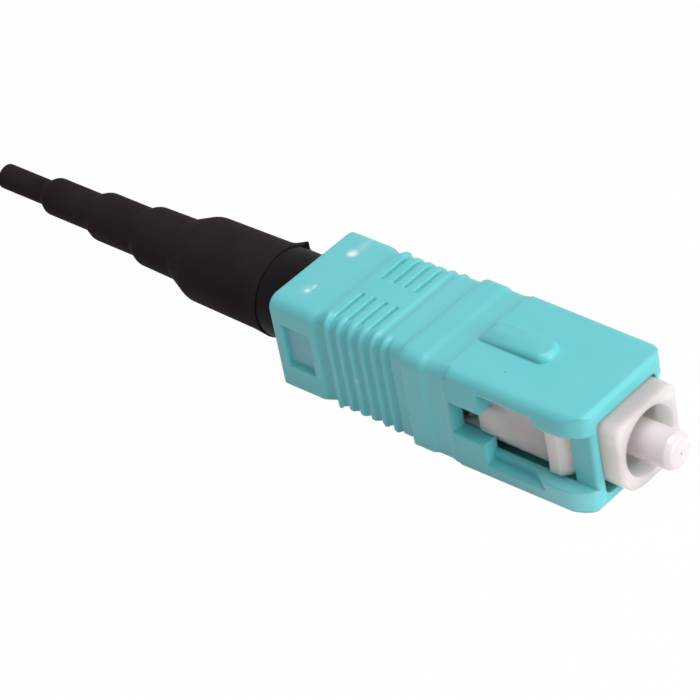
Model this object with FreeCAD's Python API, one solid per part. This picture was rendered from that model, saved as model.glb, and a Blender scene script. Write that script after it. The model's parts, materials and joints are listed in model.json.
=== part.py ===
import FreeCAD, Part
import math
import os

# SC fibre connector, push-pull, with a stepped boot. Millimetres.
# X runs along the ferrule axis towards the mating end, Y is across, Z is up (the key side).
# The origin is on the ferrule axis, in the plane of the outer housing's front face while the
# housing is pulled back against its stop.

V = FreeCAD.Vector
AXIS = V(1, 0, 0)

# ---------------------------------------------------------------- driving sizes
# Ferrule: the standard 2.5 mm pin.
ferrule_r = 1.2495
ferrule_length = 10.5
ferrule_tip_x = 3.85
ferrule_tip_chamfer_length = 0.45
ferrule_tip_chamfer_depth = 0.28
ferrule_tip_dome = 0.06
ferrule_seat_taper = 0.03
fibre_hole_r = 0.063
fibre_funnel_r = 0.45
fibre_funnel_length = 1.2

# Outer housing: the 9.0 x 7.4 mm body that enters the adapter.
body_half_y = 4.5
body_half_z = 3.7
body_length = 10.45
front_corner_length = 2.3
front_half_y = 3.45
housing_length = 25.5
top_edge_r = 0.85
bottom_edge_r = 0.15
band_half_y = 4.56
band_front_x = -12.42
band_rear_x = -14.46
waist_half_y = 4.43
waist_half_z = 3.64
neck_half_y = 4.2
neck_half_z = 3.58
grip_half_y = 4.34
grip_half_z = 3.58
grip_block_half_z = 3.47
grip_block_length = 3.35
scoop_depth = 0.4
rib_count = 6
rib_first_x = -21.12
rib_pitch = 0.944
rib_last_width = 0.8
rib_flank = 0.13
groove_width = 0.06
groove_depth = 0.3
groove_depth_top = 0.24
plain_strip_half_y = 0.88

# Shallow pocket on each side of the grip's rear block, and two marks on its top.
pocket_length = 2.4
pocket_half_z = 1.65
pocket_depth = 0.35
pocket_margin = 0.75
mark_r = 0.5
mark_depth = 0.08
mark_y = 2.23
mark_setback = 1.77

# Key on the top face.
key_half_y = 1.0
key_height = 0.52
key_front_x = -5.2
key_length = 5.5
key_ramp = 1.2
key_corner_r = 0.9
key_edge_r = 0.42

# Side windows of the outer housing, where the adapter's hooks work.
wall_y = 1.15
wall_z = 0.75
window_half_z = 2.15
window_rear_x = -8.1
rail_half_z = 2.8
rail_depth = 0.75
ramp_foot_x = -4.9
ramp_top_x = -3.5
post_length = 1.8
post_outer_y = 3.4
tail_half_z = 1.22
release_travel = 1.5

# Plug frame.
slide_gap = 0.1
stop_gap = 0.05
nose_reach = 1.5
nose_half_y = 2.85
nose_top_z = 2.65
nose_bottom_z = -2.85
nose_chamfer = 0.15
frame_lower_r = 1.9
frame_upper_r = 0.35
nose_upper_r = 0.6
shoulder_gap = 0.2
frame_rear_x = -17.0
sleeve_bore_r = 2.35
web_front_x = -3.2
web_thickness = 0.8
web_gap = 0.15
latch_reach_y = 3.75
latch_half_z = 1.85
latch_rear_x = -3.55
latch_flat = 0.85
latch_chamfer = 0.5
hook_seat_length = 3.0
hook_seat_depth = 0.3
lug_rear_x = -9.05
lug_length = 2.45
lug_flat = 0.95
lug_half_z = 1.0
lug_reach_y = 3.62

# Ferrule flange and its inner tube.
flange_r = 2.3
flange_length = 2.1
flange_chamfer = 0.3
flange_gap = 0.15
flange_seat_gap = 0.02
flange_slot_half = 0.45
flange_slot_depth = 0.45
flange_slots = 4
key_clearance = 0.1
barrel_r = 1.5
barrel_length = 1.8
tail_r = 1.05
tail_length = 3.6
tube_r = 0.8
tube_wall = 0.3
tube_length = 18.6
tube_inset = 0.35
ferrule_push = 1.0

# Spring.
spring_wire_r = 0.22
spring_r = 1.8
spring_turns = 7.5
spring_gap = 0.02
sections_per_turn = 12
wire_sides = 6

# Stop ring.
ring_wall = 0.33
ring_fit = 0.05
ring_front_x = -9.4
ring_seat_x = -12.8
ring_bore_r = 1.3
ring_collar_r = 2.8
ring_collar_length = 0.8
ring_neck_r = 1.9
ring_neck_length = 9.2
snap_length = 2.7
snap_half_z = 0.95
snap_reach_y = 3.05
snap_gap = 0.12

# Rear body.
back_barrel_r = 2.7
back_collar_r = 3.07
back_collar_length = 3.3
back_gap = 0.2
back_neck_fit = 0.04
spigot_length = 6.9
spigot_r = 2.15
spigot_bore_r = 1.2
barb_height = 0.22
barb_count = 3
barb_pitch = 2.0

# Boot.
boot_end_x = -55.2
boot_lip_r = 3.33
boot_lip_length = 1.15
boot_lap = 0.62
boot_fit = 0.03
boot_bore_r = 0.5
boot_funnel_length = 2.0
# Outer steps from the mouth to the tail: end of the step's length, radius there,
# radius at its start, and how long the shoulder down to the next one is.
boot_steps = (
    (7.1, 3.07, 2.98, 1.9),
    (12.3, 2.17, 2.1, 0.8),
    (16.9, 1.73, 1.73, 0.9),
    (21.8, 1.34, 1.34, 0.7),
    (26.75, 0.9, 0.9, 0.0),
)
boot_tail_edge = 0.14

# ---------------------------------------------------------------- places worked out from them
housing_rear_x = -housing_length
cavity_half_y = body_half_y - wall_y
cavity_half_z = body_half_z - wall_z
frame_half_y = cavity_half_y - slide_gap
frame_half_z = cavity_half_z - slide_gap
frame_front_x = -post_length - shoulder_gap
tail_rear_x = lug_rear_x - release_travel - stop_gap
web_rear_x = web_front_x - web_thickness
ferrule_hole_r = ferrule_r + web_gap
flange_front_x = web_rear_x - flange_seat_gap
flange_rear_x = flange_front_x - flange_length
flange_pocket_r = flange_r + flange_gap
ferrule_rear_x = ferrule_tip_x - ferrule_length
# Behind the web the ferrule tapers very slightly into its seat in the flange.
ferrule_ground_rear_x = web_front_x - web_gap
ferrule_r_at_flange = ferrule_r - ferrule_seat_taper * (
    (ferrule_ground_rear_x - flange_front_x) / (ferrule_ground_rear_x - ferrule_rear_x))
barrel_rear_x = flange_rear_x - barrel_length
tail_tip_x = barrel_rear_x - tail_length
ring_r = flange_pocket_r
frame_bore_r = ring_r + ring_fit
ring_collar_rear_x = frame_rear_x - ring_collar_length
ring_end_x = ring_collar_rear_x - ring_neck_length
back_collar_front_x = housing_rear_x - back_gap
back_collar_rear_x = back_collar_front_x - back_collar_length
spigot_end_x = back_collar_rear_x - spigot_length
boot_mouth_x = back_collar_rear_x + boot_lap


def outline(x, half_y, z_low, z_high, r_low, r_high):
    # Closed rectangle with rounded corners in the plane at x.
    corners = (
        (-half_y + r_low, z_low + r_low, r_low, 180.0),
        (half_y - r_low, z_low + r_low, r_low, 270.0),
        (half_y - r_high, z_high - r_high, r_high, 0.0),
        (-half_y + r_high, z_high - r_high, r_high, 90.0),
    )
    bends = []
    for y, z, r, start in corners:
        points = []
        for turn in (0.0, 45.0, 90.0):
            angle = math.radians(start + turn)
            points.append(V(x, y + r * math.cos(angle), z + r * math.sin(angle)))
        bends.append(points)
    edges = []
    for i, points in enumerate(bends):
        edges.append(Part.Arc(*points).toShape())
        edges.append(Part.makeLine(points[2], bends[(i + 1) % len(bends)][0]))
    return Part.Wire(edges)


def slab(x_rear, x_front, half_y, z_low, z_high, r_low, r_high):
    # Straight bar along X with a rounded rectangular section.
    face = Part.Face(outline(x_rear, half_y, z_low, z_high, r_low, r_high))
    return face.extrude(V(x_front - x_rear, 0, 0))


def taper(stations):
    # Bar along X through rounded rectangular sections that change size.
    wires = [outline(*station) for station in stations]
    return Part.makeLoft(wires, True, True)


def box(x0, x1, y0, y1, z0, z1):
    return Part.makeBox(x1 - x0, y1 - y0, z1 - z0, V(x0, y0, z0))


def plan_prism(points, half_z):
    # Prism from a plan outline of (x, y) points, centred on the axis in height.
    corners = [V(x, y, -half_z) for x, y in points]
    face = Part.Face(Part.makePolygon(corners + corners[:1]))
    return face.extrude(V(0, 0, 2 * half_z))


def side_prism(points, half_y):
    # Prism from a side outline of (x, z) points, centred across the width.
    corners = [V(x, -half_y, z) for x, z in points]
    face = Part.Face(Part.makePolygon(corners + corners[:1]))
    return face.extrude(V(0, 2 * half_y, 0))


def turned(points):
    # Solid of revolution about the ferrule axis from a closed outline of (x, radius) points.
    corners = [V(x, 0, r) for x, r in points]
    face = Part.Face(Part.makePolygon(corners + corners[:1]))
    return face.revolve(V(0, 0, 0), AXIS, 360)


def rod(x_rear, x_front, r):
    return Part.makeCylinder(r, x_front - x_rear, V(x_rear, 0, 0), AXIS)


def both_sides(shape):
    # The shape and its mirror image on the other side of the connector.
    return [shape, shape.mirror(V(0, 0, 0), V(0, 1, 0))]


def joined(shapes):
    whole = shapes[0].fuse(shapes[1:]) if len(shapes) > 1 else shapes[0]
    return whole.removeSplitter()


def front_block():
    # Mating body with its vertical front corners rounded in plan.
    bar = slab(-body_length, 0, body_half_y, -body_half_z, body_half_z, bottom_edge_r, top_edge_r)
    drop = body_half_y - front_half_y
    bend_r = (front_corner_length ** 2 + drop ** 2) / (2 * drop)
    swing = math.asin(front_corner_length / bend_r)
    start_x = -front_corner_length
    centre_y = body_half_y - bend_r
    mid_x = start_x + bend_r * math.sin(swing / 2)
    mid_y = centre_y + bend_r * math.cos(swing / 2)
    low = -body_half_z - 1
    right = Part.Arc(V(start_x, body_half_y, low), V(mid_x, mid_y, low), V(0, front_half_y, low))
    left = Part.Arc(V(0, -front_half_y, low), V(mid_x, -mid_y, low), V(start_x, -body_half_y, low))
    rear = -body_length
    edges = [
        Part.makeLine(V(rear, body_half_y, low), V(start_x, body_half_y, low)),
        right.toShape(),
        Part.makeLine(V(0, front_half_y, low), V(0, -front_half_y, low)),
        left.toShape(),
        Part.makeLine(V(start_x, -body_half_y, low), V(rear, -body_half_y, low)),
        Part.makeLine(V(rear, -body_half_y, low), V(rear, body_half_y, low)),
    ]
    plan = Part.Face(Part.Wire(edges)).extrude(V(0, 0, 2 * body_half_z + 2))
    return bar.common(plan)


def grip():
    # Ribbed rear half of the housing: block, scooped waist, ribs and neck.
    block_front_x = housing_rear_x + grip_block_length
    last_rib_x = rib_first_x + (rib_count - 1) * rib_pitch
    ribs_front_x = last_rib_x + rib_last_width
    core_half_y = grip_half_y - groove_depth
    core_half_z = grip_half_z - groove_depth_top
    edges = (bottom_edge_r, top_edge_r)
    pieces = [
        slab(housing_rear_x, block_front_x, grip_half_y, -grip_block_half_z, grip_block_half_z, *edges),
        taper((
            (block_front_x, grip_half_y, -grip_block_half_z, grip_block_half_z) + edges,
            (rib_first_x, grip_half_y - scoop_depth, -grip_block_half_z, grip_block_half_z) + edges,
        )),
        slab(rib_first_x, ribs_front_x, core_half_y, -core_half_z, core_half_z, *edges),
        slab(ribs_front_x, band_rear_x, neck_half_y, -neck_half_z, neck_half_z, *edges),
    ]
    for i in range(rib_count):
        last = i == rib_count - 1
        start_x = rib_first_x + i * rib_pitch + (groove_width if i else 0.0)
        end_x = ribs_front_x if last else rib_first_x + (i + 1) * rib_pitch - groove_width
        crest_z = neck_half_z if last else grip_half_z
        foot_y = core_half_y
        foot_z = core_half_z if not last else min(core_half_z, crest_z)
        pieces.append(taper((
            (start_x, foot_y, -foot_z, foot_z) + edges,
            (start_x + rib_flank, grip_half_y, -crest_z, crest_z) + edges,
            (end_x - rib_flank, grip_half_y, -crest_z, crest_z) + edges,
            (end_x, foot_y, -foot_z, foot_z) + edges,
        )))
    # The grooves stop short of a plain strip along the middle of the top and the bottom.
    strip_front_x = last_rib_x + groove_width + rib_flank
    strip = [(block_front_x, grip_block_half_z), (rib_first_x, grip_half_z), (strip_front_x, grip_half_z)]
    strip += [(x, -z) for x, z in reversed(strip)]
    pieces.append(side_prism(strip, plain_strip_half_y))
    whole = joined(pieces)
    pocket_rear_x = housing_rear_x + pocket_margin
    pocket = box(pocket_rear_x, pocket_rear_x + pocket_length,
                 grip_half_y - pocket_depth, grip_half_y + 1, -pocket_half_z, pocket_half_z)
    cuts = both_sides(pocket)
    mark_x = housing_rear_x + mark_setback
    for side in (-1, 1):
        foot = V(mark_x, side * mark_y, grip_block_half_z - mark_depth)
        cuts.append(Part.makeCylinder(mark_r, 1.0, foot))
    return whole.cut(cuts)


def housing_key():
    # Raised key: ramped at the back, rounded in plan at the front, soft along its top edges.
    rear_x = key_front_x - key_length
    top_z = body_half_z + key_height
    root_z = body_half_z - wall_z / 2
    profile = side_prism(((rear_x, root_z), (rear_x, body_half_z), (rear_x + key_ramp, top_z),
                          (key_front_x, top_z), (key_front_x, root_z)), key_half_y)
    bar = slab(rear_x, key_front_x, key_half_y, root_z, top_z, 0.05, key_edge_r)
    straight = key_front_x - key_corner_r
    head = box(rear_x, straight, -key_half_y, key_half_y, root_z, top_z)
    tip_half = key_half_y - key_corner_r
    middle = box(straight - 0.1, key_front_x, -tip_half, tip_half, root_z, top_z)
    rounds = []
    for side in (-1, 1):
        rounds.append(Part.makeCylinder(key_corner_r, top_z - root_z, V(straight, side * tip_half, root_z)))
    plan = joined([head, middle] + rounds)
    return profile.common(bar).common(plan)


def window_cuts():
    # Through window, hook channel with its release ramps, front post and tail slot, on one side.
    inside_y = cavity_half_y - 0.2
    outside_y = band_half_y + 0.5
    floor_y = body_half_y - rail_depth
    run = (ramp_top_x - ramp_foot_x) / rail_depth
    ramp_end_x = ramp_foot_x + run * (outside_y - floor_y)
    window = box(window_rear_x, -post_length, inside_y, outside_y, -window_half_z, window_half_z)
    channel = plan_prism(((window_rear_x, floor_y), (ramp_foot_x, floor_y), (ramp_end_x, outside_y),
                          (window_rear_x, outside_y)), rail_half_z)
    post = box(-post_length - 0.1, 1.0, post_outer_y, outside_y, -window_half_z, window_half_z)
    slot = box(tail_rear_x, window_rear_x + 0.1, inside_y, outside_y, -tail_half_z, tail_half_z)
    return joined([window, channel, post, slot])


def outer_housing():
    edges = (bottom_edge_r, top_edge_r)
    waist = slab(band_front_x, -body_length, waist_half_y, -waist_half_z, waist_half_z, *edges)
    band = slab(band_rear_x, band_front_x, band_half_y, -body_half_z, body_half_z, *edges)
    shell = joined([front_block(), waist, band, grip(), housing_key()])
    cavity = slab(housing_rear_x - 1, -post_length, cavity_half_y, -cavity_half_z, cavity_half_z, 0.3, 0.2)
    mouth = slab(-post_length - 0.1, 1, nose_half_y + slide_gap, nose_bottom_z - slide_gap,
                 nose_top_z + 2 * slide_gap, 0.5, 0.3)
    return shell.cut([cavity, mouth] + both_sides(window_cuts())).removeSplitter()


def latch_solid():
    # Shoulder that the adapter's hook drops behind, with the slope it climbs.
    front_x = latch_rear_x + latch_flat
    root_y = frame_half_y - hook_seat_depth - 0.2
    slope_foot_x = front_x + latch_chamfer
    return plan_prism(((latch_rear_x, root_y), (latch_rear_x, latch_reach_y), (front_x, latch_reach_y),
                       (slope_foot_x, frame_half_y), (slope_foot_x, root_y)), latch_half_z)


def lug_solid():
    # Lug that runs in the housing's tail slot and limits its travel.
    front_x = lug_rear_x + lug_length
    root_y = frame_half_y - 0.3
    return plan_prism(((lug_rear_x, root_y), (lug_rear_x, lug_reach_y), (lug_rear_x + lug_flat, lug_reach_y),
                       (front_x, frame_half_y), (front_x, root_y)), lug_half_z)


def plug_frame():
    body = slab(frame_rear_x, frame_front_x, frame_half_y, -frame_half_z, frame_half_z,
                frame_lower_r, frame_upper_r)
    small = nose_chamfer
    nose = taper((
        (frame_front_x, nose_half_y, nose_bottom_z, nose_top_z, frame_lower_r, nose_upper_r),
        (nose_reach - small, nose_half_y, nose_bottom_z, nose_top_z, frame_lower_r, nose_upper_r),
        (nose_reach, nose_half_y - small, nose_bottom_z + small, nose_top_z - small,
         frame_lower_r - small, nose_upper_r - small),
    ))
    outside = joined([body, nose])
    # The hook's seat falls away towards the latch shoulder.
    seat_rear_x = latch_rear_x - hook_seat_length
    seat = plan_prism(((seat_rear_x, frame_half_y), (latch_rear_x, frame_half_y - hook_seat_depth),
                       (latch_rear_x, frame_half_y + 0.5), (seat_rear_x, frame_half_y + 0.5)),
                      latch_half_z)
    outside = outside.cut(both_sides(seat))
    solids = [outside]
    solids += both_sides(latch_solid())
    solids += both_sides(lug_solid())
    outside = joined(solids)
    pocket_rear_x = flange_rear_x - 0.1
    hollow = turned((
        (nose_reach + 1, 0), (nose_reach + 1, sleeve_bore_r), (web_front_x, sleeve_bore_r),
        (web_front_x, ferrule_hole_r), (web_rear_x, ferrule_hole_r), (web_rear_x, flange_pocket_r),
        (pocket_rear_x, flange_pocket_r), (pocket_rear_x, frame_bore_r), (frame_rear_x - 1, frame_bore_r),
        (frame_rear_x - 1, 0),
    ))
    snap_window = box(ring_front_x - snap_gap - snap_length, ring_front_x + snap_gap,
                      ring_r - 0.4, frame_half_y + 1, -snap_half_z - snap_gap, snap_half_z + snap_gap)
    frame = outside.cut([hollow] + both_sides(snap_window))
    # Two keys hold the flange against turning.
    key_half = flange_slot_half - key_clearance
    key_inner_z = flange_r - flange_slot_depth + key_clearance
    keys = []
    for low, high in ((key_inner_z, flange_pocket_r + 0.15), (-flange_pocket_r - 0.15, -key_inner_z)):
        keys.append(box(flange_rear_x + key_clearance, web_rear_x + 0.1, -key_half, key_half, low, high))
    return joined([frame] + keys)


def ferrule():
    face_r = ferrule_r - ferrule_tip_chamfer_depth
    shoulder_x = ferrule_tip_x - ferrule_tip_chamfer_length
    body = turned((
        (ferrule_tip_x, fibre_hole_r), (ferrule_tip_x, face_r / 2),
        (ferrule_tip_x - ferrule_tip_dome, face_r), (shoulder_x, ferrule_r),
        (ferrule_ground_rear_x, ferrule_r), (ferrule_rear_x, ferrule_r - ferrule_seat_taper),
        (ferrule_rear_x, fibre_funnel_r),
        (ferrule_rear_x + fibre_funnel_length, fibre_hole_r),
    ))
    return body


def ferrule_flange():
    tube_seat_x = ferrule_rear_x - tube_inset
    body = turned((
        (flange_front_x, ferrule_r_at_flange), (flange_front_x, flange_r - flange_chamfer),
        (flange_front_x - flange_chamfer, flange_r), (flange_rear_x, flange_r),
        (flange_rear_x, barrel_r), (barrel_rear_x, barrel_r), (barrel_rear_x, tail_r),
        (tail_tip_x, tail_r), (tail_tip_x, tube_r), (tube_seat_x, tube_r),
        (tube_seat_x, tube_r - tube_wall), (ferrule_rear_x, tube_r - tube_wall),
        (ferrule_rear_x, ferrule_r - ferrule_seat_taper),
    ))
    cuts = []
    slot = box(flange_rear_x, flange_front_x, -flange_slot_half, flange_slot_half,
               flange_r - flange_slot_depth, flange_r + 1)
    for i in range(flange_slots):
        turned_slot = slot.copy()
        turned_slot.rotate(V(0, 0, 0), AXIS, 360.0 * i / flange_slots)
        cuts.append(turned_slot)
    return body.cut(cuts)


def inner_tube():
    front_x = ferrule_rear_x - tube_inset
    rear_x = front_x - tube_length
    return rod(rear_x, front_x, tube_r).cut(rod(rear_x - 1, front_x + 1, tube_r - tube_wall))


def spring():
    # Wire sections set along the helix and lofted from one to the next.
    front_x = flange_rear_x - spring_gap - spring_wire_r
    rear_x = ring_seat_x + spring_gap + spring_wire_r
    count = round(spring_turns * sections_per_turn)
    lead = (front_x - rear_x) / (2 * math.pi * spring_turns)
    sections = []
    for i in range(count + 1):
        turn = 2 * math.pi * spring_turns * i / count
        outward = V(0, math.cos(turn), math.sin(turn))
        centre = V(rear_x + lead * turn, 0, 0) + outward * spring_r
        along = V(lead, -spring_r * math.sin(turn), spring_r * math.cos(turn)).normalize()
        across = along.cross(outward)
        ring = []
        for k in range(wire_sides):
            angle = 2 * math.pi * k / wire_sides
            ring.append(centre + outward * (spring_wire_r * math.cos(angle))
                        + across * (spring_wire_r * math.sin(angle)))
        sections.append(Part.makePolygon(ring + ring[:1]))
    return Part.makeLoft(sections, True, True)


def stop_ring():
    cup_r = ring_r - ring_wall
    body = turned((
        (ring_front_x, cup_r), (ring_front_x, ring_r - 0.1), (ring_front_x - 0.1, ring_r),
        (frame_rear_x, ring_r), (frame_rear_x, ring_collar_r), (ring_collar_rear_x, ring_collar_r),
        (ring_collar_rear_x, ring_neck_r), (ring_end_x + 0.3, ring_neck_r), (ring_end_x, ring_neck_r - 0.3),
        (ring_end_x, ring_bore_r), (ring_seat_x, ring_bore_r), (ring_seat_x, cup_r),
    ))
    # Snap lugs that click into the plug frame's side windows.
    rear_x = ring_front_x - snap_length
    lug = plan_prism(((rear_x, ring_r - 0.25), (rear_x, snap_reach_y), (rear_x + snap_length / 2, snap_reach_y),
                      (ring_front_x - 0.15, ring_r - 0.02), (ring_front_x - 0.15, ring_r - 0.25)), snap_half_z)
    return joined([body] + both_sides(lug))


def rear_body():
    points = [
        (ring_collar_rear_x, ring_neck_r + back_neck_fit), (ring_collar_rear_x, back_barrel_r),
        (back_collar_front_x, back_barrel_r), (back_collar_front_x, back_collar_r),
        (back_collar_rear_x, back_collar_r), (back_collar_rear_x, spigot_r),
    ]
    # Barbs that grip the boot.
    for i in range(barb_count):
        rear_x = back_collar_rear_x - 0.8 - i * barb_pitch
        points += [
            (rear_x, spigot_r), (rear_x, spigot_r + barb_height), (rear_x - barb_pitch / 2, spigot_r),
        ]
    neck_end_x = ring_end_x - 0.1
    points += [
        (spigot_end_x, spigot_r), (spigot_end_x, spigot_bore_r), (neck_end_x, spigot_bore_r),
        (neck_end_x, ring_neck_r + back_neck_fit),
    ]
    return turned(points)


def boot():
    # Outside: flared lip at the mouth, then steps down to the tail.
    lip_rear_x = boot_mouth_x - boot_lip_length
    points = [(boot_mouth_x, back_collar_r + boot_fit), (boot_mouth_x, boot_lip_r)]
    first = True
    for end, r_start, r_end, shoulder in boot_steps:
        start_x = lip_rear_x if first else last_x
        end_x = boot_mouth_x - end
        points.append((start_x, r_start))
        if shoulder:
            points.append((end_x, r_end))
        last_x = end_x - shoulder
        first = False
    tail_r_out = boot_steps[-1][2]
    points += [(boot_end_x + boot_tail_edge, tail_r_out), (boot_end_x, tail_r_out - boot_tail_edge),
               (boot_end_x, boot_bore_r)]
    # Inside: cable bore, funnel, socket for the barbed spigot and counterbore for the collar.
    socket_r = spigot_r + barb_height + boot_fit
    socket_end_x = spigot_end_x - 0.2
    points += [
        (socket_end_x - boot_funnel_length, boot_bore_r), (socket_end_x, socket_r),
        (back_collar_rear_x - boot_fit, socket_r), (back_collar_rear_x - boot_fit, back_collar_r + boot_fit),
    ]
    return turned(points)


PIECES = {
    "outer_housing": outer_housing,
    "plug_frame": plug_frame,
    "ferrule": ferrule,
    "ferrule_flange": ferrule_flange,
    "inner_tube": inner_tube,
    "spring": spring,
    "stop_ring": stop_ring,
    "rear_body": rear_body,
    "boot": boot,
}

os.makedirs("parts", exist_ok=True)
for name, make in PIECES.items():
    shape = make()
    solids = shape.Solids
    print(name, "solids", len(solids), "valid", shape.isValid(), "volume", round(shape.Volume, 3),
          "box", [round(v, 3) for v in (shape.BoundBox.XMin, shape.BoundBox.XMax, shape.BoundBox.YMin,
                                        shape.BoundBox.YMax, shape.BoundBox.ZMin, shape.BoundBox.ZMax)])
    whole = solids[0] if len(solids) == 1 else shape
    whole.exportStep("parts/" + name + ".step")
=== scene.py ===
import json
import math

import bmesh
import bpy
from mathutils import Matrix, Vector

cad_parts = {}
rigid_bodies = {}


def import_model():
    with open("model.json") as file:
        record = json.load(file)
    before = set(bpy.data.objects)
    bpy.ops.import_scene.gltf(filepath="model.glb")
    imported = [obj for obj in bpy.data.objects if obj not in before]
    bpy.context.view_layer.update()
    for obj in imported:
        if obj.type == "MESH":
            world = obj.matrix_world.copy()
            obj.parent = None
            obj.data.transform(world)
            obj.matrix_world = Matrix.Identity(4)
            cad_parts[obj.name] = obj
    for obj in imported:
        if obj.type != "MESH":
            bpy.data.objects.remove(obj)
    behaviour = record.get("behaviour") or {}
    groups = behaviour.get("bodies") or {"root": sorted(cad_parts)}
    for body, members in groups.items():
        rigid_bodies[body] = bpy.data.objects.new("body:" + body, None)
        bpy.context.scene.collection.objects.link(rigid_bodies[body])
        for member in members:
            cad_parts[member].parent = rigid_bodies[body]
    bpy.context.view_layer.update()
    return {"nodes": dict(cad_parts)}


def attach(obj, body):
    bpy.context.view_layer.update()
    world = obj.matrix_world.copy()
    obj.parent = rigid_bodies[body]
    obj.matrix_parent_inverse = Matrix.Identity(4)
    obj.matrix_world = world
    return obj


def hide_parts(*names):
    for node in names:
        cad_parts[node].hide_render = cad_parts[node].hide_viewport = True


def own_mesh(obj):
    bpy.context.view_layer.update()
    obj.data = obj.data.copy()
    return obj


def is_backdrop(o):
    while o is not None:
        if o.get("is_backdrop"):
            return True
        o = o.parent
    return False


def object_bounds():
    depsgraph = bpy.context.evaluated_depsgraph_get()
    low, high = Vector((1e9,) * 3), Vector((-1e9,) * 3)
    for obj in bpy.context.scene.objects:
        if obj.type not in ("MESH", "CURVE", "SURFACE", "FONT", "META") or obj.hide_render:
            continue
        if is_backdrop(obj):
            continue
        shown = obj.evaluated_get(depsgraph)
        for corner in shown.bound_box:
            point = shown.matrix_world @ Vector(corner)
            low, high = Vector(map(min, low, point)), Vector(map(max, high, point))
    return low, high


mm = 0.001

for item in list(bpy.data.objects):
    bpy.data.objects.remove(item, do_unlink=True)

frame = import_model()
print("frame loaded")


# Small helpers

def linearColour(hexText):
    channels = [int(hexText[i:i + 2], 16) / 255 for i in (0, 2, 4)]
    return [c / 12.92 if c <= 0.04045 else ((c + 0.055) / 1.055) ** 2.4 for c in channels] + [1.0]


def spacedSteps(low, high, count):
    return [low + (high - low) * i / count for i in range(count + 1)]


def easeStep(low, high, value):
    t = min(max((value - low) / (high - low), 0.0), 1.0)
    return t * t * (3 - 2 * t)


def addNode(tree, kind, place=(0, 0), settings=None, **sockets):
    # Input values go by socket name, with an underscore for each space
    node = tree.nodes.new(kind)
    node.location = place
    for name, value in (settings or {}).items():
        setattr(node, name, value)
    for name, value in sockets.items():
        node.inputs[name.replace("_", " ")].default_value = value
    return node


def join(tree, outSocket, inSocket):
    tree.links.new(outSocket, inSocket)


def setSocket(tree, socket, value):
    # The value is another node's output or a fixed one
    if hasattr(value, "links"):
        join(tree, value, socket)
    else:
        socket.default_value = value


def mixColour(tree, factor, first, second, place=(0, 0)):
    node = addNode(tree, "ShaderNodeMix", place, settings={"data_type": "RGBA"})
    for socket, value in ((node.inputs[0], factor), (node.inputs[6], first), (node.inputs[7], second)):
        setSocket(tree, socket, value)
    return node.outputs[2]


def mathNode(tree, operation, first, second=0.0, place=(0, 0), clamp=False):
    node = addNode(tree, "ShaderNodeMath", place, settings={"operation": operation, "use_clamp": clamp})
    setSocket(tree, node.inputs[0], first)
    setSocket(tree, node.inputs[1], second)
    return node.outputs[0]


def spread(tree, value, low, high, place=(0, 0), outLow=0.0, outHigh=1.0):
    # Smooth change from one output value to the other between two input values
    node = addNode(tree, "ShaderNodeMapRange", place, settings={"interpolation_type": "SMOOTHSTEP"})
    for i, limit in enumerate((low, high, outLow, outHigh)):
        node.inputs[1 + i].default_value = limit
    join(tree, value, node.inputs[0])
    return node.outputs[0]


def newTree(name, kind, inputs, outputs):
    # Node tree with named inputs (label, kind, value) and outputs (label, kind)
    tree = bpy.data.node_groups.new(name, kind)
    for label, socketKind, value in inputs:
        socket = tree.interface.new_socket(name=label, in_out="INPUT", socket_type=socketKind)
        if value is not None:
            socket.default_value = value
    for label, socketKind in outputs:
        tree.interface.new_socket(name=label, in_out="OUTPUT", socket_type=socketKind)
    return tree, addNode(tree, "NodeGroupInput", (-1200, 0)), addNode(tree, "NodeGroupOutput", (1200, 0))


# Shader node groups shared by the materials

def makeGrainGroup():
    # Fine texture of a mould surface: a height for bump, and a slow drift for colour
    tree, start, end = newTree(
        "mouldGrain", "ShaderNodeTree",
        [("Grain Size", "NodeSocketFloat", 9000.0), ("Drift Size", "NodeSocketFloat", 180.0),
         ("Vector", "NodeSocketVector", None)],
        [("Height", "NodeSocketFloat"), ("Drift", "NodeSocketFloat")])
    fine = addNode(tree, "ShaderNodeTexNoise", (-500, 200), Detail=4.0, Roughness=0.6)
    slow = addNode(tree, "ShaderNodeTexNoise", (-500, -100), Detail=2.0, Roughness=0.5)
    for noise, size, result in ((fine, "Grain Size", "Height"), (slow, "Drift Size", "Drift")):
        join(tree, start.outputs["Vector"], noise.inputs["Vector"])
        join(tree, start.outputs[size], noise.inputs["Scale"])
        join(tree, noise.outputs["Fac"], end.inputs[result])
    return tree


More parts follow.
